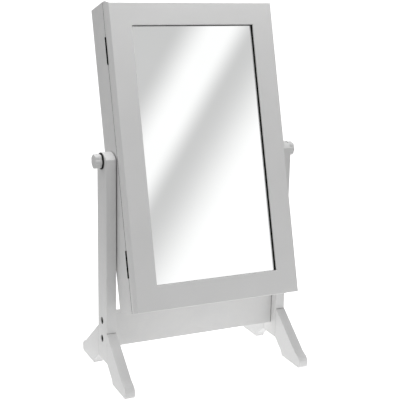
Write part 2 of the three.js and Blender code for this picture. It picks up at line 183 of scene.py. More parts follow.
def chamfered(start, face, radius, lip):
    """The profile of a bore to cut, opened up at the face. lip has the sign of the way out."""
    return [(start, radius), (face - lip, radius), (face + lip, radius + 2 * abs(lip))]


def pocket(box, edge=0.05 * MM):
    """A box to cut with, its edges only just broken."""
    return rounded_box(box, edge, 1)


def grown(box, amount):
    """The box made larger all round. amount is one number, or one for each axis."""
    by = Vector(amount) if hasattr(amount, "__len__") else Vector((amount,) * 3)
    return box[0] - by, box[1] + by


def prism(outline, start, end, radius):
    """An outline of (y, z) points carried along X, with its rims and sharp corners rounded."""
    bm = loft([[Vector((x, y, z)) for y, z in outline] for x in (start, end)])
    rims = [e for e in bm.edges if abs(e.verts[0].co.x - e.verts[1].co.x) < TOUCH]
    walls = [e for e in bm.edges if e not in rims and e.calc_face_angle() > CORNER]
    round_edges(bm, rims + walls, radius)
    return bm


def tube(path, radius, count=16, dome=4):
    """A round rod along a path of points, domed at its far end."""
    rings = []
    side = Vector((1, 0, 0))
    for i, point in enumerate(path):
        ahead = path[min(i + 1, len(path) - 1)] - path[max(i - 1, 0)]
        ahead.normalize()
        across = ahead.cross(side).normalized()
        rings.append(rod_ring(point, side, across, radius, count))
    for t in quarter(dome)[1:-1] + [math.pi / 2 * TIP]:
        centre = path[-1] + ahead * radius * math.sin(t)
        rings.append(rod_ring(centre, side, across, radius * math.cos(t), count))
    return loft(rings)


def rod_ring(centre, side, across, radius, count):
    turns = [2 * math.pi * i / count for i in range(count)]
    return [centre + radius * (side * math.cos(t) + across * math.sin(t)) for t in turns]


def rounded_rectangle(half_x, half_z, centre_z, y, corner, steps=4):
    """A ring round a rectangle in the X-Z plane at depth y, its corners rounded."""
    ring = []
    for turn, (sx, sz) in enumerate(((1, 1), (-1, 1), (-1, -1), (1, -1))):
        for t in quarter(steps):
            angle = t + turn * math.pi / 2
            x = sx * (half_x - corner) + corner * math.cos(angle)
            z = sz * (half_z - corner) + corner * math.sin(angle)
            ring.append(Vector((x, y, centre_z + z)))
    return ring


def mesh_of(bm, name):
    """The shape as a mesh. The shape is used up."""
    mesh = bpy.data.meshes.new(name)
    bm.to_mesh(mesh)
    bm.free()
    return mesh


def add_object(name, data):
    thing = bpy.data.objects.new(name, data)
    bpy.context.scene.collection.objects.link(thing)
    return thing


def combine(bm, others, operation):
    """The shape after each of the others has been cut from it or joined to it."""
    body, *tools = [add_object("scratch", mesh_of(shape, "scratch")) for shape in (bm, *others)]
    for tool in tools:
        step = body.modifiers.new(operation, "BOOLEAN")
        step.operation = operation
        step.solver = "EXACT"
        step.object = tool
    graph = bpy.context.evaluated_depsgraph_get()
    made = bpy.data.meshes.new_from_object(body.evaluated_get(graph))
    result = bmesh.new()
    result.from_mesh(made)
    for thing in (body, *tools):
        bpy.data.objects.remove(thing)
    return result


def carve(bm, cutters):
    return combine(bm, cutters, "DIFFERENCE")


def together(shapes):
    """Separate solids as one mesh."""
    whole = bmesh.new()
    for shape in shapes:
        mesh = mesh_of(shape, "part")
        whole.from_mesh(mesh)
        bpy.data.meshes.remove(mesh)
    return whole


# ---- materials ----

CREVICE_SHADE_FADE = 0.55  # how much more of the view is open where the painted shade of a crevice ends
# Painted shade in the lacquer's crevices: reach, the open share where it is darkest, and its strength.
LACQUER_PAINTED_SHADE = (1.6 * MM, 0.28, 0.85)
SEAM_PAINTED_SHADE = (4 * MM, 0.42, 0.94)


def feed(node, values):
    """Links a node's inputs to other sockets, or gives them plain values. A colour has 3 numbers."""
    for name, value in values.items():
        socket = node.inputs[name.replace("_", " ") if isinstance(name, str) else name]
        if isinstance(value, bpy.types.NodeSocket):
            node.id_data.links.new(value, socket)
        else:
            socket.default_value = (*value, 1) if socket.type == "RGBA" else value


def add_node(tree, kind, **values):
    node = tree.nodes.new("ShaderNode" + kind)
    feed(node, values)
    return node


def new_material(name, **values):
    """A material, its node tree, and its Principled shader with plain values on its own sockets."""
    material = bpy.data.materials.new(name)
    material.use_nodes = True
    shader = material.node_tree.nodes["Principled BSDF"]
    feed(shader, values)
    return material, material.node_tree, shader


def add_noise(tree, scale, detail, stretch=(1, 1, 1)):
    """Noise with its pattern fixed to the piece. scale is in patches to the metre."""
    place = add_node(tree, "TexCoord").outputs["Object"]
    stretched = add_node(tree, "Mapping", Vector=place, Scale=stretch).outputs["Vector"]
    return add_node(tree, "TexNoise", Vector=stretched, Scale=scale, Detail=detail).outputs["Fac"]


def spread(tree, source, low, high, start=0.35, end=0.65):
    """The source's range start to end, turned into low to high."""
    node = add_node(tree, "MapRange", Value=source, From_Min=start, From_Max=end,
                    To_Min=low, To_Max=high)
    return node.outputs["Result"]


def patches(tree, scale, detail, low=0, high=1, stretch=(1, 1, 1)):
    """Noise in soft patches whose values run from low to high."""
    return spread(tree, add_noise(tree, scale, detail, stretch), low, high)


def mixed(tree, factor, first, second):
    """A mix of two colours, each a socket or a plain colour."""
    node = add_node(tree, "Mix")
    node.data_type = "RGBA"
    feed(node, {0: factor, 6: first, 7: second})
    return node.outputs[2]


def calculate(tree, operation, first, second=0.0):
    """A math node over sockets or plain numbers."""
    node = add_node(tree, "Math")
    node.operation = operation
    feed(node, {0: first, 1: second})
    return node.outputs[0]


def rubbed(tree, base, amount, bare, reach=0.04, scale=90):
    """The base colour, mixed in patches with a bare one by up to amount on the sharpest edges."""
    pointiness = add_node(tree, "NewGeometry").outputs["Pointiness"]
    edges = spread(tree, pointiness, 0, 1, 0.53, 0.53 + reach)
    in_patches = spread(tree, add_noise(tree, scale, 3), 0, 1, 0.42, 0.62)
    worn = calculate(tree, "MULTIPLY", edges, in_patches)
    return mixed(tree, spread(tree, worn, 0, amount, 0, 1), base, bare)


def painted_crevice_shade(tree, base, reach, shut, amount):
    """The base colour, darkened by painted shade by up to amount in gaps and corners.

    The painted shade is darkest where only the share shut of the view out to reach is open."""
    node = add_node(tree, "AmbientOcclusion", Distance=reach)
    node.samples = 8
    painted_shade = spread(tree, node.outputs["AO"], amount, 0, shut, shut + CREVICE_SHADE_FADE)
    # a near-black colour is painted in as shade
    return mixed(tree, painted_shade, base, (0.05, 0.05, 0.048))


def paint(shader, base, rough):
    feed(shader, {"Base Color": base, "Roughness": rough})


def add_bump(shader, source, distance, strength):
    """Relief of that depth in metres, on top of any that the shader has already."""
    bump = add_node(shader.id_data, "Bump", Height=source, Distance=distance, Strength=strength)
    links = shader.inputs["Normal"].links
    if links:
        feed(bump, {"Normal": links[0].from_socket})
    feed(shader, {"Normal": bump.outputs["Normal"]})


def make_lacquer(name, painted_shade):
    """Satin white lacquer on MDF: faint clouds, flecks and orange peel, lighter rubbed rims, and painted shade in
    crevices.
    """
    material, tree, shader = new_material(name, Specular_IOR_Level=0.42)
    base = mixed(tree, patches(tree, 9, 3), (0.775, 0.775, 0.772), (0.805, 0.805, 0.803))
    base = mixed(tree, patches(tree, 900, 1, 0, 0.05), base, (0.60, 0.60, 0.59))
    base = rubbed(tree, base, 0.30, (0.86, 0.85, 0.83))
    # painted shade darkens the base colour in crevices, gaps and corners
    paint(shader, painted_crevice_shade(tree, base, *painted_shade), patches(tree, 24, 4, 0.36, 0.47))
    add_bump(shader, add_noise(tree, 420, 2), 0.03 * MM, 0.35)
    add_bump(shader, add_noise(tree, 60, 1), 0.10 * MM, 0.20)
    return material


def make_plastic():
    """Moulded satin plastic: a fine even texture, with handling marks."""
    material, tree, shader = new_material("white_plastic", Specular_IOR_Level=0.5)
    base = mixed(tree, patches(tree, 120, 3), (0.73, 0.73, 0.728), (0.77, 0.77, 0.768))
    base = rubbed(tree, base, 0.35, (0.84, 0.84, 0.83), 0.05, 300)
    paint(shader, base, patches(tree, 160, 4, 0.28, 0.42))
    add_bump(shader, add_noise(tree, 2600, 1), 0.012 * MM, 0.5)
    return material


def make_metal(name, dark, light, metallic, specular, rough, brushed):
    """A metal whose tone and sheen vary, with brush marks drawn out where brushed is small."""
    material, tree, shader = new_material(name, Metallic=metallic, Specular_IOR_Level=specular)
    bare = tuple(min(1, 1.5 * c + 0.012) for c in light)
    base = mixed(tree, patches(tree, 220, 4), dark, light)
    base = rubbed(tree, base, 0.5, bare, 0.06, 400)
    paint(shader, base, patches(tree, 500, 3, *rough))
    add_bump(shader, add_noise(tree, 1500, 2, brushed), 0.010 * MM, 0.4)
    return material


def make_rubber():
    """Matt black rubber with a fine grain, dustier on its rims."""
    material, tree, shader = new_material("black_rubber", Specular_IOR_Level=0.35)
    base = mixed(tree, patches(tree, 300, 4), (0.012, 0.012, 0.012), (0.026, 0.026, 0.025))
    base = rubbed(tree, base, 0.4, (0.09, 0.09, 0.09), 0.06, 350)
    paint(shader, base, patches(tree, 700, 2, 0.55, 0.78))
    add_bump(shader, add_noise(tree, 2200, 3), 0.03 * MM, 0.6)
    return material


def make_velvet():
    """Short flock: a pile that lies one way in some patches and the other way in others."""
    material, tree, shader = new_material("velvet", Sheen_Weight=0.7, Sheen_Roughness=0.35,
                                          Sheen_Tint=(0.55, 0.54, 0.60), Specular_IOR_Level=0.15)
    pile = mixed(tree, patches(tree, 45, 4), (0.030, 0.028, 0.034), (0.062, 0.059, 0.070))
    base = mixed(tree, patches(tree, 2400, 2, 0, 0.35), pile, (0.11, 0.105, 0.12))
    paint(shader, base, patches(tree, 180, 3, 0.82, 1.0))
    add_bump(shader, add_noise(tree, 1800, 3), 0.25 * MM, 0.8)
    add_bump(shader, add_noise(tree, 120, 2), 0.35 * MM, 0.35)
    return material


def make_beech():
    """Raw beech: grain drawn out along the dowels, which lie from front to back."""
    material, tree, shader = new_material("beech", Specular_IOR_Level=0.3)
    grain = patches(tree, 700, 4, 0, 1, (1, 0.06, 1))
    flecks = spread(tree, add_noise(tree, 2600, 1, (1, 0.15, 1)), 0, 0.5, 0.6, 0.75)
    base = mixed(tree, grain, (0.50, 0.34, 0.19), (0.68, 0.50, 0.31))
    base = mixed(tree, flecks, base, (0.36, 0.21, 0.11))
    paint(shader, base, spread(tree, grain, 0.58, 0.76, 0, 1))
    add_bump(shader, grain, 0.05 * MM, 0.5)
    return material


def make_silver():
    """The silvered face of the mirror: clean, with the faintest film on the glass."""
    material, tree, shader = new_material("mirror_silver", Metallic=1.0)
    tint = mixed(tree, patches(tree, 14, 4), (0.930, 0.938, 0.934), (0.942, 0.948, 0.945))
    paint(shader, tint, patches(tree, 35, 5, 0.0, 0.012))
    return material


def make_back_paint_and_rim_shade():
    """Black paint on the mirror's back, and on its rim as painted shade for the gap between glass and lip."""
    material, tree, shader = new_material("back_paint_and_painted_rim_shade", Specular_IOR_Level=0.04)
    base = mixed(tree, patches(tree, 260, 4), (0.005, 0.005, 0.006), (0.012, 0.012, 0.013))
    paint(shader, base, patches(tree, 90, 3, 0.8, 0.95))
    add_bump(shader, add_noise(tree, 800, 2), 0.03 * MM, 0.4)
    return material


# black paint for the mirror's back, and painted shade on its rim
BACK_PAINT_AND_RIM_SHADE = make_back_paint_and_rim_shade()
# a copy of the lacquer with stronger painted shade, for the seam at the door and the hinges' reliefs
SEAM_SHADED_LACQUER = make_lacquer("lacquer_with_painted_seam_shade", SEAM_PAINTED_SHADE)
MATERIALS = {
    "lacquer": make_lacquer("lacquer", LACQUER_PAINTED_SHADE),
    "white_plastic": make_plastic(),
    "black_steel": make_metal("black_steel", (0.003, 0.003, 0.003), (0.009, 0.009, 0.010), 0.2,
                              0.07, (0.34, 0.50), (1, 1, 0.2)),
    "zinc_steel": make_metal("zinc_steel", (0.50, 0.51, 0.53), (0.66, 0.67, 0.69), 1.0,
                             0.5, (0.26, 0.42), (0.1, 1, 1)),
    "black_rubber": make_rubber(),
    "velvet": make_velvet(),
    "beech": make_beech(),
    "mirror": make_silver(),
}


# ---- pieces ----

SHARP = math.radians(38)  # faces that meet at more than this are shaded with an edge between them


def new_piece(name, bm, body, slot, place, sharp=SHARP):
    """A shown piece made from a shape, smooth over its rounded edges, that rides on a body."""
    bm.transform(place)
    mesh = mesh_of(bm, name)
    mesh.materials.append(MATERIALS[slot])
    mesh.shade_smooth()
    mesh.set_sharp_from_angle(angle=sharp)
    piece = add_object(name, mesh)
    flat = piece.modifiers.new("flat_faces", "WEIGHTED_NORMAL")
    flat.keep_sharp = True
    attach(piece, body)
    return piece


def stand_for(node, bm, sharp=SHARP):
    """The piece that is shown instead of a CAD node."""
    piece = new_piece(f"{node}_fine", bm, BODY_OF[node], SLOT_OF[node], PLACE_OF[node], sharp)
    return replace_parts(piece, node)


# ---- outlines from the CAD ----

STRAIGHT = math.radians(0.5)  # a smaller turn than this is no turn


def side_outline(node):
    """The outer outline of a node's flat right-hand side, as (y, z) points in order."""
    bm = bmesh.new()
    bm.from_mesh(NODES[node].data)
    bmesh.ops.remove_doubles(bm, verts=bm.verts, dist=TOUCH)
    face_x = max(v.co.x for v in bm.verts)
    faces = {f for f in bm.faces if all(abs(v.co.x - face_x) < TOUCH for v in f.verts)}
    rim = [e for e in bm.edges if sum(f in faces for f in e.link_faces) == 1]
    next_to = {}
    for edge in rim:
        a, b = edge.verts
        next_to.setdefault(a, []).append(b)
        next_to.setdefault(b, []).append(a)
    # The rim has the holes' loops too. The outer one goes through the highest point.
    start = max(next_to, key=lambda v: v.co.z + TOUCH * v.co.y)
    loop, last = [start], None
    while True:
        step = [v for v in next_to[loop[-1]] if v != last][0]
        if step == start:
            break
        last = loop[-1]
        loop.append(step)
    outline = [Vector((v.co.y, v.co.z)) for v in loop]
    bm.free()
    return drop_straight(outline)


def steps_at(outline, i):
    """The step to point i of the outline, and the step away from it."""
    return outline[i] - outline[i - 1], outline[(i + 1) % len(outline)] - outline[i]


def drop_straight(outline):
    """The outline without the points that lie on a straight run."""
    steps = [steps_at(outline, i) for i in range(len(outline))]
    return [p for p, (before, after) in zip(outline, steps) if before.angle(after) > STRAIGHT]


def smoothed(outline, longest=9 * MM, extra=3):
    """The outline with extra points on each chord of its curved stretches, which meet smoothly.

    A chord over the longest length is a straight side. No new point is outside the outline's box."""
    count = len(outline)
    low, high = Vector(map(min, *outline)), Vector(map(max, *outline))

    def tangent(i):
        before, after = steps_at(outline, i)
        if before.angle(after) > CORNER:
            return None
        if before.length > longest:
            return before.normalized()
        if after.length > longest:
            return after.normalized()
        return (before.normalized() * after.length + after.normalized() * before.length).normalized()

    finer = []
    for i in range(count):
        j = (i + 1) % count
        start, end = outline[i], outline[j]
        chord = end - start
        finer.append(start)
        leave, arrive = tangent(i), tangent(j)
        if chord.length > longest or (leave is None and arrive is None):
            continue
        along = chord.normalized()
        leave = leave or 2 * along.dot(arrive) * along - arrive
        arrive = arrive or 2 * along.dot(leave) * along - leave
        for k in range(1, extra + 1):
            t = k / (extra + 1)
            point = start * (2 * t**3 - 3 * t**2 + 1) + end * (3 * t**2 - 2 * t**3)
            point += chord.length * (leave * (t**3 - 2 * t**2 + t) + arrive * (t**3 - t**2))
            finer.append(Vector(min(max(v, a), b) for v, a, b in zip(point, low, high)))
    return finer


# ---- the stand ----

WOOD_EDGE = 0.9 * MM
BOLT_HEAD = 4.5 * MM
BOLT_HEAD_RADIUS = 5.5 * MM
BOLT_SHANK = 3 * MM  # the radius of the bolts and of the knobs' studs
BOLT_ROOM = BOLT_SHANK + GAP
BOLT_THREAD = 18 * MM
THREAD_PITCH = MM
THREAD_DEPTH = 0.5 * MM
THREAD_STEPS = 6  # rings to each turn
DOWEL_RADIUS = 4 * MM
DOWEL_FLUTES = 16
FLUTE_DEPTH = 0.3 * MM


def hole(node, axis, mouth=0.0):
    """A drill for a round CAD node: GAP wider all round, and longer by mouth at each end."""
    box = box_of(node)
    size = box[1] - box[0]
    k = "XYZ".index(axis)
    radius = max(size[(k + 1) % 3], size[(k + 2) % 3]) / 2 + GAP
    half = size[k] / 2 + mouth
    return drill(middle(box), axis, -half, half, radius, 40)


def dowel_holes(end, side):
    return [hole(f"{end}_{side}_dowel_{level}", "Y", MM) for level in LEVELS]


def bolt_facts(side, level):
    """A rail bolt's centre line and side, and the x of its tip, of its head's seat and of its face."""
    node = f"rail_bolt_{side}_{level}"
    sign = SIDES[side]
    tip, face = inner_and_outer(node, sign)
    centre = middle(box_of(node))
    centre.x = 0
    return centre, sign, tip, face - sign * BOLT_HEAD, face


def make_shaped_board(node, cutters):
    """A board sawn to the outline of its CAD node, then drilled."""
    low, high = box_of(node)
    board = prism(smoothed(side_outline(node)), low.x, high.x, WOOD_EDGE)
    stand_for(node, carve(board, cutters))


def make_post(side):
    """A post, drilled for its knob's stud, for the rail bolts' heads and shanks, and for dowels."""
    sign = SIDES[side]
    inner, outer = inner_and_outer(f"{side}_post", sign)
    through = sorted((inner - sign * MM, outer + sign * MM))
    cutters = [drill(PIVOT, "X", *through, BOLT_ROOM)]
    recess, lip, slack = BOLT_HEAD_RADIUS + 2 * GAP, 0.5 * MM, 0.2 * MM
    for level in LEVELS:
        centre, _, _, seat, _ = bolt_facts(side, level)
        mouth = chamfered(seat - sign * slack, outer, recess, sign * lip)
        cutters += [drill(centre, "X", *through, BOLT_ROOM), turned(centre, "X", mouth)]
    for end in ENDS:
        cutters += dowel_holes(end, side)
    make_shaped_board(f"{side}_post", cutters)


def make_dowel(end, side, level):
    """A fluted dowel with rounded ends."""
    node = f"{end}_{side}_dowel_{level}"
    box = box_of(node)
    half = (box[1].y - box[0].y) / 2
    fluted = half - 1.3 * MM

    def flute(radius, angle, along):
        groove = max(0.0, math.cos(DOWEL_FLUTES * angle)) ** 2
        return radius - FLUTE_DEPTH * groove * (abs(along) <= fluted)

    profile = barrel(-half, half, DOWEL_RADIUS, MM, 2)
    profile[3:3] = [(-fluted, DOWEL_RADIUS), (fluted, DOWEL_RADIUS)]
    stand_for(node, turned(middle(box), "Y", profile, 6 * DOWEL_FLUTES, flute))


def make_rail():
    """The cross rail, bored at both ends for the bolts and from behind for their nuts."""
    low, high = box_of("cross_rail")
    past_tip = 3 * MM
    cutters = []
    for side in SIDES:
        for level in LEVELS:
            centre, sign, tip, _, _ = bolt_facts(side, level)
            bore = drill(centre, "X", tip - sign * past_tip, sign * (high.x + MM), BOLT_ROOM)
            cutters += [bore, barrel_hole(side, level, high.y)]
    stand_for("cross_rail", carve(rounded_box((low, high), WOOD_EDGE), cutters))


def barrel_hole(side, level, back):
    """The hole that a barrel nut drops into from behind, with a small chamfer at its mouth."""
    low, high = box_of(f"barrel_nut_{side}_{level}")
    centre = middle((low, high))
    centre.y = 0
    radius = (high.x - low.x) / 2 + GAP
    return turned(centre, "Y", chamfered(low.y - GAP, back, radius, 0.4 * MM))


def threaded(start, end):
    """Bends a radius into a screw thread between two places along the axis."""
    def bend(radius, angle, along):
        if not min(start, end) <= along <= max(start, end):
            return radius
        phase = (along / THREAD_PITCH - angle / (2 * math.pi)) % 1
        return radius - THREAD_DEPTH * abs(2 * phase - 1)
    return bend


def thread_rings(start, end):
    """Profile points close enough together to carry a thread from start to end."""
    count = round(abs(end - start) / THREAD_PITCH * THREAD_STEPS)
    return [(start + (end - start) * i / count, BOLT_SHANK) for i in range(count + 1)]


def make_bolt(side, level):
    """A socket-headed bolt: rounded head, hexagonal socket, plain shank and a threaded end."""
    centre, sign, tip, seat, face = bolt_facts(side, level)
    point, run_out, head_edge = 0.5 * MM, 0.4 * MM, 0.7 * MM
    first, last = tip + sign * point, tip + sign * BOLT_THREAD
    profile = [(tip, BOLT_SHANK - point)] + thread_rings(first, last)
    profile += [(last + sign * run_out, BOLT_SHANK), (seat, BOLT_SHANK)]
    profile += barrel(seat, face, BOLT_HEAD_RADIUS, head_edge)
    bolt = turned(centre, "X", profile, 36, threaded(first, last))
    key, key_depth, rim = 2.9 * MM, 2.5 * MM, 0.35 * MM
    socket = chamfered(face - sign * key_depth, face, key, sign * rim)
    stand_for(f"rail_bolt_{side}_{level}", carve(bolt, [turned(centre, "X", socket, 6)]))


def make_barrel_nut(side, level):
    """A steel cylinder, bored across for its bolt and slotted at the end that shows."""
    node = f"barrel_nut_{side}_{level}"
    low, high = box_of(node)
    centre = middle((low, high))
    radius, half = (high.x - low.x) / 2, (high.y - low.y) / 2
    across, play = 2 * radius, 0.1 * MM
    bore = drill(bolt_facts(side, level)[0], "X", centre.x - across, centre.x + across,
                 BOLT_SHANK + play)
    slot_at = Vector((centre.x, high.y, centre.z))
    slot = pocket(grown((slot_at, slot_at), (across, MM, 0.7 * MM)), 0.1 * MM)
    nut = turned(centre, "Y", barrel(-half, half, radius, 0.6 * MM))
    stand_for(node, carve(nut, [bore, slot]))


# ---- the clamping knobs ----

KNOB_LOBES = 7
KNOB_HOLLOW = 1.5 * MM
KNOB_EDGE = 1.3 * MM
KNOB_DOME = 0.5 * MM


def make_grip(side):
    """A lobed grip: deep scallops on its rim, a rounded outer edge and a slightly domed face."""
    sign = SIDES[side]
    node = f"{side}_knob_grip"
    box = box_of(node)
    inner, outer = inner_and_outer(node, sign)
    size = box[1] - box[0]
    crest = max(size.y, size.z) / 2

    def lobed(radius, angle, along):
        lobe = math.sqrt(abs(math.cos(KNOB_LOBES * (angle - math.pi) / 2)))
        return radius - KNOB_HOLLOW * (1 - lobe) * min(1, radius / crest) ** 2

    profile = [(inner, crest - 0.6 * MM), (inner + sign * 0.3 * MM, crest - 0.15 * MM),
               (inner + sign * 0.7 * MM, crest)]
    shoulder, face = outer - sign * (KNOB_EDGE + KNOB_DOME), crest - KNOB_EDGE
    profile += [(shoulder + sign * KNOB_EDGE * math.sin(t), face + KNOB_EDGE * math.cos(t))
                for t in quarter(5)]
    profile += [(outer - sign * KNOB_DOME * share**2, share * face) for share in (0.85, 0.6, 0.3)]
    profile.append((outer, 0.05 * face))
    grip = turned(PIVOT, "X", profile, KNOB_LOBES * 24, lobed)
    stud_end = inner_and_outer(f"{side}_knob_stud", sign)[1]
    socket = drill(PIVOT, "X", inner - sign * MM, stud_end + sign * GAP, BOLT_ROOM)
    stand_for(node, carve(grip, [socket]), sharp=math.radians(50))


def make_stud(side):
    """The knob's stud, threaded up to where the knob is moulded round it."""
    sign = SIDES[side]
    node = f"{side}_knob_stud"
    inner, outer = inner_and_outer(node, sign)
    edge, run_out, in_knob = 0.6 * MM, 0.5 * MM, 9 * MM
    first, last = inner + sign * edge, outer - sign * in_knob
    profile = [(inner, BOLT_SHANK - edge)] + thread_rings(first, last)
    profile += [(last + sign * run_out, BOLT_SHANK), (outer - sign * edge, BOLT_SHANK)]
    profile.append((outer, BOLT_SHANK - edge))
    stand_for(node, turned(PIVOT, "X", profile, 28, threaded(first, last)))


def make_washer(side):
    node = f"{side}_knob_washer"
    box = box_of(node)
    inner, outer = inner_and_outer(node, SIDES[side])
    profile = collar(inner, outer, (box[1].z - box[0].z) / 2, BOLT_ROOM, 0.7 * MM)
    stand_for(node, turned(PIVOT, "X", profile, 72, closed=True))


# ---- the cabinet ----

BOARD_EDGE = 0.4 * MM
SEAM_REACH = 0.6 * MM  # how far round an edge the lacquer with the seam's painted shade goes
SEAM_FACING = 0.3  # the least part of a face's normal that points into the gap
INSERT_RADIUS = 5 * MM
KNURLS = 30
KNURL_DEPTH = 0.25 * MM
SPACER_RADIUS = 9 * MM
LEAF_SIGN = {"case": 1, "door": -1}  # which way along y a leaf lies from the hinge line
LEAF_EDGE = 0.15 * MM
LEAF_INSET = 0.2 * MM  # from the hinge line to a leaf
LEAF_THICKNESS = 0.8 * MM
KNUCKLE = 1.7 * MM
KNUCKLE_RELIEF = 2.5 * MM
KNUCKLES = 5
PIN_RADIUS = 0.7 * MM
PIN_BORE = 0.9 * MM
SCREW_HEAD = 2.0 * MM
SCREW_SHANK = 0.9 * MM


def mark_painted_seam_shade(bm, edge, facing):
    """Gives slot 1, the lacquer with stronger painted shade, to the faces that the case and the door
    turn to each other at the gap, and to the walls of the hinges' reliefs.

    edge is the depth of the gap's face, and facing is 1 for a face that looks back, -1 forwards."""
    for face in bm.faces:
        near = abs(face.calc_center_median().y - edge) < SEAM_REACH
        from_line = [(v.co - HINGE_LINE).xy.length for v in face.verts]
        in_relief = all(abs(distance - KNUCKLE_RELIEF) < 5 * TOUCH for distance in from_line)
        if in_relief or (near and face.normal.y * facing > SEAM_FACING):
            face.material_index = 1


def make_board(node, cutters):
    """A board of the case, whose front edge faces the door across the gap."""
    box = box_of(node)
    board = carve(rounded_box(box, BOARD_EDGE), cutters)
    # faces at the gap and in the hinge reliefs get the lacquer with stronger painted shade
    mark_painted_seam_shade(board, box[0].y, -1)
    stand_for(node, board).data.materials.append(SEAM_SHADED_LACQUER)


def make_panel(node, edge):
    """A plain board."""
    stand_for(node, rounded_box(box_of(node), edge))


def panel_groove():
    """The groove that the back panel stands in."""
    return pocket(grown(box_of("case_back_panel"), GAP))


def hinge_pocket(level, owner):
    """The bed of one leaf and the relief for the knuckle, cut from the case or from the door."""
    low, high = box_of(f"{owner}_hinge_leaf_{level}")
    depths = (-KNUCKLE - 0.5 * MM, LEAF_INSET + LEAF_THICKNESS)
    near, far = sorted(HINGE.y + LEAF_SIGN[owner] * depth for depth in depths)
    bed = (Vector((low.x - MM, near, low.z)), Vector((high.x, far, high.z)))
    relief = drill(HINGE_LINE, "Z", low.z - GAP, high.z + GAP, KNUCKLE_RELIEF)
    return [pocket(grown(bed, GAP)), relief]


def make_case():
    for side in SIDES:
        cutters = [panel_groove(), hole(f"{side}_pivot_insert", "X", GAP)]
        if side == "left":
            for level in LEVELS:
                cutters += hinge_pocket(level, "case")
        make_board(f"case_{side}_side", cutters)
        make_pivot_fittings(side)
    for node in ("case_bottom", "case_top"):
        make_board(node, [panel_groove()])
    make_panel("case_back_panel", BOARD_EDGE)


def make_pivot_fittings(side):
    """The knurled insert in the side board, and the spacer between the board and the post."""
    def knurl(radius, angle, along):
        on_rim = radius > INSERT_RADIUS - MM
        return radius - KNURL_DEPTH * abs(math.sin(KNURLS / 2 * angle)) * on_rim

    for kind, radius, edge, count, bend in (("insert", INSERT_RADIUS, 0.5 * MM, 90, knurl),
                                            ("spacer", SPACER_RADIUS, 0.3 * MM, 64, None)):
        node = f"{side}_pivot_{kind}"
        inner, outer = inner_and_outer(node, SIDES[side])
        profile = collar(inner, outer, radius, BOLT_ROOM, edge)
        stand_for(node, turned(Vector(), "X", profile, count, bend, closed=True))


def make_shelf(node, thickness=6 * MM, fence=4 * MM, edge=0.8 * MM):
    """A shelf with a low fence along its front edge, cut from one section."""
    low, high = box_of(node)
    section = [(low.y, low.z), (high.y, low.z), (high.y, low.z + thickness),
               (low.y + fence, low.z + thickness), (low.y + fence, high.z), (low.y, high.z)]
    stand_for(node, prism(section, low.x, high.x, edge))


def make_hook_rail(count=6, wire=2 * MM, bend=4 * MM, thickness=6 * MM, height=8.8 * MM):
    """A rail with peg hooks, each bent up at its tip."""
    low, high = box_of("hook_rail")
    board = rounded_box((Vector((low.x, high.y - thickness, low.z)), high), 1.2 * MM)
    pitch = (high.x - low.x) / count
    root, elbow, z = high.y - thickness, low.y + wire + bend, low.z + height
    pegs = []
    for i in range(count):
        x = low.x + pitch * (i + 0.5)
        path = [Vector((x, root + MM, z)), Vector((x, (root + elbow) / 2, z))]
        path += [Vector((x, elbow - bend * math.sin(t), z + bend * (1 - math.cos(t))))
                 for t in quarter(8)]
        path.append(Vector((x, low.y + wire, z + height - wire)))
        pegs.append(tube(path, wire))
    stand_for("hook_rail", combine(board, pegs, "UNION"))


def make_ring_pad(soft=5 * MM, bays=24, crease=0.35 * MM, creases=90):
    """Padded velvet rolls side by side, with tight slits between them that hold rings."""
    drawn_in, squeezed = 0.8, 0.25  # how much of the end's roundness reaches the front and the sides
    low, high = box_of("ring_pad")
    section = roll_section(low, high)
    centre = middle((low, high))
    length = high.x - low.x
    stations = [soft * (1 - math.cos(t)) for t in quarter(7)]
    between = [length * k / bays for k in range(2, bays - 1)]
    rings = []
    for distance in stations + between + [length - s for s in reversed(stations)]:
        near_end = min(distance, length - distance)
        pull = soft - math.sqrt(max(0, soft**2 - max(0, soft - near_end) ** 2))
        ring = []
        for y, z in section:
            front = (centre.y - y) / (centre.y - low.y)
            y += drawn_in * pull * front
            z += squeezed * pull * (centre.z - z) / (high.z - centre.z)
            point = Vector((low.x + distance, y, z))
            point.y += abs(noise.noise(point * creases)) * crease * max(0, front)
            ring.append(point)
        rings.append(ring)
    pad = stand_for("ring_pad", loft(rings), math.radians(80))


def roll_section(low, high, rolls=7, slit=9 * MM, steps=14, edge=1.5 * MM):
    """The pad's cross-section: a flat back, and a row of round rolls with deep slits between."""
    fullness, plumpness = 0.985, 0.55
    pitch = (high.z - low.z) / rolls
    section = [(high.y - edge, high.z), (high.y, high.z - edge), (high.y, low.z + edge),
               (high.y - edge, low.z)]
    for roll in range(rolls):
        for step in range(steps + 1):
            t = math.pi * (step + 0.5) / (steps + 1)
            z = low.z + pitch * (roll + 0.5 - 0.5 * fullness * math.cos(t))
            y = low.y + slit * (1 - math.sin(t) ** plumpness)
            section.append((y, z))
    return section


def make_catch():
    """The magnetic catch: a plastic body, with two steel pole plates that stand out of it."""
    low, high = box_of("magnet_catch")
    proud, thick, margin, depth = 0.8 * MM, 1.2 * MM, 8 * MM, 4 * MM
    body = (low + Vector((0, proud, 0)), high)
    stand_for("magnet_catch", rounded_box(body, 1.2 * MM))
    plates = []
    for share in (0.3, 0.7):
        x = low.x + share * (high.x - low.x)
        near = Vector((x - thick / 2, low.y, low.z + margin))
        far = Vector((x + thick / 2, low.y + depth, high.z - margin))
        plates.append(rounded_box((near, far), 0.2 * MM, 2))
    new_piece("magnet_catch_poles", together(plates), "cabinet", "zinc_steel", CABINET)


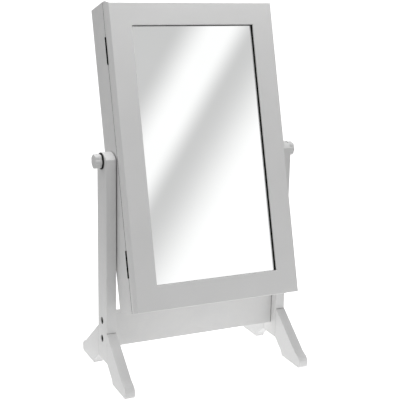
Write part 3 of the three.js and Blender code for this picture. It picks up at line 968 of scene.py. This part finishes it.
def make_strike_plate():
    """A steel plate with a countersunk hole for its screw."""
    low, high = box_of("strike_plate")
    centre = middle((low, high))
    centre.y = 0
    bore, mouth = 1.2 * MM, 2.2 * MM
    sink = [(low.y - MM, bore), (high.y - 0.6 * MM, bore), (high.y + 0.2 * MM, mouth)]
    plate = carve(rounded_box((low, high), 0.25 * MM, 2), [turned(centre, "Y", sink, 32)])
    stand_for("strike_plate", plate)


# ---- hinges ----


def leaf_screws(level, owner):
    """Places of a leaf's three screws, and the way that their heads face."""
    low, high = box_of(f"{owner}_hinge_leaf_{level}")
    centre = middle((low, high))
    from_edge, apart = 3.6 * MM, 0.34 * (high.z - low.z)
    facing = -LEAF_SIGN[owner]
    places = [Vector((high.x - from_edge, HINGE.y - facing * LEAF_INSET, centre.z + k * apart))
              for k in (-1, 0, 1)]
    return places, facing


def screw_profile(facing, wider=0.0):
    """A countersunk head and a pointed shank. The head faces along Y, towards facing."""
    head, shank = SCREW_HEAD + wider, SCREW_SHANK + wider
    length, point, sink, rim = 7 * MM, 2 * MM, 0.75 * MM, 0.08 * MM
    return [(-facing * length, 0.35 * shank), (-facing * (length - point), shank),
            (-facing * sink, shank), (-facing * rim, head), (0, head - 0.05 * MM)]


def make_leaf(level, owner, first):
    """A hinge leaf: a plate, every other knuckle from the first, and holes for pin and screws."""
    node = f"{owner}_hinge_leaf_{level}"
    low, high = box_of(node)
    depths = (LEAF_INSET, LEAF_INSET + LEAF_THICKNESS)
    near, far = sorted(HINGE.y + LEAF_SIGN[owner] * depth for depth in depths)
    start = HINGE.x + KNUCKLE + GAP
    plate = rounded_box((Vector((start, near, low.z)), Vector((high.x, far, high.z))), LEAF_EDGE, 2)
    pin_low, pin_high = box_of(f"hinge_pin_{level}")
    step = (pin_high.z - pin_low.z) / KNUCKLES
    knuckle_edge, web_inset = 0.2 * MM, 0.05 * MM
    parts = []
    for i in range(first, KNUCKLES, 2):
        bottom = pin_low.z + i * step + GAP / 2
        top = bottom + step - GAP
        web = (Vector((HINGE.x + PIN_BORE, near, bottom + web_inset)),
               Vector((start + GAP, far, top - web_inset)))
        parts.append(turned(HINGE_LINE, "Z", barrel(bottom, top, KNUCKLE, knuckle_edge, 2), 32))
        parts.append(pocket(web, 0.03 * MM))
    places, facing = leaf_screws(level, owner)
    sink = screw_profile(facing, 0.1 * MM) + [(facing * MM, SCREW_HEAD + 0.2 * MM)]
    cutters = [drill(HINGE_LINE, "Z", pin_low.z - MM, pin_high.z + MM, PIN_BORE, 24)]
    cutters += [turned(place, "Y", sink, 24) for place in places]
    stand_for(node, carve(combine(plate, parts, "UNION"), cutters))


def make_leaf_screws(level, owner):
    """The three cross-headed screws of a leaf."""
    places, facing = leaf_screws(level, owner)
    long, deep, thin = 1.1 * MM, 0.5 * MM, 0.22 * MM
    screws = []
    for place in places:
        cross = [pocket(grown((place, place), size)) for size in ((long, deep, thin), (thin, deep, long))]
        screws.append(carve(turned(place, "Y", screw_profile(facing), 24), cross))
    body = BODY_OF[f"{owner}_hinge_leaf_{level}"]
    new_piece(f"{owner}_hinge_screws_{level}", together(screws), body, "black_steel", CABINET)


def make_hinges():
    for level in LEVELS:
        for first, owner in enumerate(LEAF_SIGN):
            make_leaf(level, owner, first)
        for owner in LEAF_SIGN:
            make_leaf_screws(level, owner)
        node = f"hinge_pin_{level}"
        low, high = box_of(node)
        profile = barrel(low.z, high.z, PIN_RADIUS, 0.3 * MM, 3)
        stand_for(node, turned(HINGE_LINE, "Z", profile, 24))


# ---- the door ----

FRAME_WIDTH = 41 * MM
LIP = 3.6 * MM
BEVEL_WIDTH = 4.6 * MM
BEVEL_DEPTH = 7.5 * MM
SIDE_EASE = 1.2 * MM  # how far the bevel's two arrises are softened
FRONT_EASE = 0.588 * MM
BOTTOM_BEVEL_SHARE = 0.3
DOOR_CORNER = 1.4 * MM
GLASS_DEPTH = 3 * MM  # how deep the silvering looks through the glass


def door_ring(inset, y, box):
    """A ring round the door, that far in from its outer edges. The bottom has a slighter bevel."""
    low, high = box
    corner = max(DOOR_CORNER - inset, 0.25 * MM)
    on_bevel = inset < BEVEL_WIDTH + FRONT_EASE + TOUCH
    bottom = low.z + (BOTTOM_BEVEL_SHARE * inset if on_bevel else inset)
    top = high.z - inset
    return rounded_rectangle((high.x - low.x) / 2 - inset, (top - bottom) / 2,
                             (top + bottom) / 2, y, corner)


def eased(before, corner, after, cut, steps=4):
    """Profile points that turn a corner on a soft curve, from one cut before it to one after."""
    corner = Vector(corner)
    start = corner + (Vector(before) - corner).normalized() * cut
    end = corner + (Vector(after) - corner).normalized() * cut
    curve = []
    for i in range(steps + 1):
        t = i / steps
        curve.append(start * (1 - t)**2 + corner * 2 * t * (1 - t) + end * t**2)
    return curve


def make_door_frame():
    """The frame as one section carried round the door, with pockets for the hinges."""
    box = box_of("door_frame")
    front, back = box[0].y, box[1].y
    rebate = (box_of("mirror_glass")[0].x - GAP) - box[0].x
    back_edge, lip_edge, lip_back = 0.3 * MM, 0.7 * MM, 0.15 * MM
    side_arris, front_arris = (0, front + BEVEL_DEPTH), (BEVEL_WIDTH, front)
    profile = [(back_edge * (1 - math.sin(t)), back - back_edge * (1 - math.cos(t)))
               for t in quarter(3)]
    profile += eased((0, back), side_arris, front_arris, SIDE_EASE)
    profile += eased(side_arris, front_arris, (FRAME_WIDTH, front), FRONT_EASE)
    profile += [(FRAME_WIDTH - lip_edge * (1 - math.sin(t)), front + lip_edge * (1 - math.cos(t)))
                for t in quarter(4)]
    profile += [(FRAME_WIDTH, front + LIP - lip_back), (FRAME_WIDTH - lip_back, front + LIP),
                (rebate, front + LIP), (rebate, back - back_edge), (rebate - back_edge, back)]
    door = loft([door_ring(inset, y, box) for inset, y in profile], closed=True)
    door = carve(door, [cutter for level in LEVELS for cutter in hinge_pocket(level, "door")])
    # faces at the gap and in the hinge reliefs get the lacquer with stronger painted shade
    mark_painted_seam_shade(door, back, 1)
    stand_for("door_frame", door).data.materials.append(SEAM_SHADED_LACQUER)


def make_mirror():
    """The mirror pane: silvering that lies below a black rim, painted shade for the gap between glass and lip."""
    low, high = box_of("mirror_glass")
    opening = box_of("door_frame")[1].x - FRAME_WIDTH
    rim = high.x - opening - 0.15 * MM
    silver, front = low.y + GLASS_DEPTH, low.y - 0.25 * MM
    half_x, half_z = (high.x - low.x) / 2, (high.z - low.z) / 2
    centre = middle((low, high))
    centre.y = silver
    edge, corner = 0.4 * MM, 0.5 * MM
    profile = [(edge, high.y), (0, high.y - edge), (0, front + edge), (edge, front),
               (rim, front), (rim, silver)]
    pane = loft([rounded_rectangle(half_x - inset, half_z - inset, centre.z, y, corner, 2)
                 for inset, y in profile])
    # the rim and back get the black: painted shade on the rim, paint on the back
    for face in pane.faces:
        face.material_index = 1
    silvered = min(pane.faces, key=lambda f: (f.calc_center_median() - centre).length)
    silvered.material_index = 0
    piece = stand_for("mirror_glass", pane, math.radians(20))
    piece.data.materials.append(BACK_PAINT_AND_RIM_SHADE)


# ---- camera, floor and light ----

LENS = 83.453  # millimetres, as the sensor's width is
SENSOR = 36
CAMERA_PLACE = Vector((-0.6398, -1.3918, 0.6668))
CAMERA_HEADING = math.radians(24.931)  # to the right of straight at the object
CAMERA_DIP = math.radians(13.847)
CAMERA_ROLL = math.radians(1.1495)
AMBIENT = 0.23
MIRRORED = (25.8, 18.3)  # azimuth and elevation of what the mirror shows at rest
MIRRORED_EDGES = (40, 14)  # degrees from there where the streaks begin, and where they are whole
FLOOR_DROP = 0.05 * MM


def make_camera():
    data = bpy.data.cameras.new("camera")
    data.lens = LENS
    data.sensor_width = SENSOR
    camera = add_object("camera", data)
    turn = Matrix.Rotation(-CAMERA_HEADING, 4, "Z") @ Matrix.Rotation(math.pi / 2 - CAMERA_DIP, 4, "X")
    camera.matrix_world = Matrix.Translation(CAMERA_PLACE) @ turn @ Matrix.Rotation(CAMERA_ROLL, 4, "Z")
    bpy.context.scene.camera = camera


def total(tree, sockets, result=0.0):
    for socket in sockets:
        result = calculate(tree, "ADD", result, socket)
    return result


def compass(azimuth, elevation):
    """A direction from the object: azimuth from its front round to its right, in degrees."""
    turn, rise = math.radians(azimuth), math.radians(elevation)
    level = math.cos(rise)
    return Vector((math.sin(turn) * level, -math.cos(turn) * level, math.sin(rise)))


def along_ray(tree, direction):
    """How far a world ray points along a direction, from -1 to 1."""
    ray = add_node(tree, "TexCoord").outputs["Generated"]
    return measured(tree, "DOT_PRODUCT", ray, direction)


def measured(tree, operation, source, other):
    """The number that a vector operation gives for a socket and a plain vector."""
    node = add_node(tree, "VectorMath")
    node.operation = operation
    feed(node, {0: source, 1: other})
    return node.outputs["Value"]


def soft_lobe(tree, azimuth, elevation, tightness, strength):
    """A wide soft light far away."""
    facing = calculate(tree, "MAXIMUM", along_ray(tree, compass(azimuth, elevation)))
    lobe = calculate(tree, "POWER", facing, tightness)
    return calculate(tree, "MULTIPLY", lobe, strength)


def gloss_streaks(tree):
    """What the mirror sees: a white studio wall, then a grey one with a white stripe across it."""
    across = Vector((-0.7649, -0.1386, 0.6291))
    low, high = -0.08, 0.11
    ramp = add_node(tree, "ValToRGB")
    ramp.color_ramp.interpolation = "EASE"
    stops = ramp.color_ramp.elements
    white, stripe, wall = 1.09, 1.065, 0.625
    profile = ((-0.052, white), (0.010, wall + 0.02), (0.036, stripe), (0.049, stripe), (0.088, wall))
    for i, (place, brightness) in enumerate(profile):
        stop = stops[i] if i < 2 else stops.new(1)
        stop.position = (place - low) / (high - low)
        stop.color = (brightness,) * 3 + (1,)
    feed(ramp, {0: spread(tree, along_ray(tree, across), 0, 1, low, high)})
    return ramp.outputs[0]


def make_world():
    """Soft light, brightest behind and to the left; a camera ray sees plain white."""
    world = bpy.data.worlds.new("studio")
    world.use_nodes = True
    tree = world.node_tree
    lobes = ((180, 50, 6, 0.80), (270, 50, 6, 0.63), (225, 15, 8, 0.35), (270, 15, 8, 0.21))
    room = total(tree, [soft_lobe(tree, *lobe) for lobe in lobes], AMBIENT)
    seen = along_ray(tree, compass(*MIRRORED))
    mask = spread(tree, seen, 0, 1, *(math.cos(math.radians(edge)) for edge in MIRRORED_EDGES))
    mask.node.interpolation_type = "SMOOTHSTEP"
    blend = add_node(tree, "Mix")
    feed(blend, {0: mask, 2: room, 3: gloss_streaks(tree)})
    in_view = add_node(tree, "LightPath").outputs["Is Camera Ray"]
    shown = mixed(tree, in_view, blend.outputs[0], (1, 1, 1))
    feed(tree.nodes["Background"], {"Color": shown})
    bpy.context.scene.world = world


def soft_pool(tree, x, y, reach, strength):
    """A round pool of light on the floor that fades outwards."""
    place = add_node(tree, "NewGeometry").outputs["Position"]
    far = calculate(tree, "DIVIDE", measured(tree, "DISTANCE", place, (x, y, 0)), reach)
    squared = calculate(tree, "MULTIPLY", far, far)
    fade = calculate(tree, "EXPONENT", calculate(tree, "MULTIPLY", squared, -1.0))
    return calculate(tree, "MULTIPLY", fade, strength)


def make_floor():
    """A wide floor that glows round the object, as on a light table. A camera ray sees it white."""
    bm = bmesh.new()
    bmesh.ops.create_grid(bm, x_segments=2, y_segments=2, size=60)
    floor = add_object("floor", mesh_of(bm, "floor"))
    floor.location.z = -FLOOR_DROP
    material, tree, shader = new_material("floor", Base_Color=(0.5, 0.5, 0.5), Roughness=1.0,
                                          Specular_IOR_Level=0.0, Emission_Color=(1, 1, 1))
    pools = ((0.0, 0.0, 0.25, 0.35), (0.0, 0.0, 0.60, 0.43), (0.4, -0.4, 0.35, 0.42), (0.5, 0.0, 0.35, 0.17))
    pooled = total(tree, [soft_pool(tree, *pool) for pool in pools])
    in_view = add_node(tree, "LightPath").outputs["Is Camera Ray"]
    glow = calculate(tree, "MAXIMUM", pooled, in_view)
    feed(shader, {"Emission Strength": glow})
    floor.data.materials.append(material)


def make_lamp():
    """A round soft box above the object."""
    data = bpy.data.lights.new("soft_box", "AREA")
    data.shape = "DISK"
    data.size = 0.6
    data.energy = 9.0
    lamp = add_object("soft_box", data)
    place, aim = Vector((0, 0.1, 1.3)), Vector((0, 0, 0.4))
    lamp.location = place
    lamp.rotation_euler = (place - aim).to_track_quat("Z", "Y").to_euler()
    lamp.visible_camera = False
    lamp.visible_glossy = False


# ---- assembly ----

make_camera()
for SIDE in SIDES:
    make_post(SIDE)
    for END in ENDS:
        make_shaped_board(f"{END}_{SIDE}_foot", dowel_holes(END, SIDE))
        for LEVEL in LEVELS:
            make_dowel(END, SIDE, LEVEL)
    for LEVEL in LEVELS:
        make_bolt(SIDE, LEVEL)
        make_barrel_nut(SIDE, LEVEL)
    make_grip(SIDE)
    make_stud(SIDE)
    make_washer(SIDE)
make_rail()
make_case()
make_shelf("lower_shelf")
make_shelf("upper_shelf")
make_hook_rail()
make_ring_pad()
make_catch()
make_strike_plate()
make_hinges()
make_door_frame()
make_mirror()
make_panel("mirror_backing", 0.8 * MM)  # velvet-faced, and seen when the door is open
make_floor()
make_world()
make_lamp()
bpy.context.scene.view_settings.view_transform = "Standard"
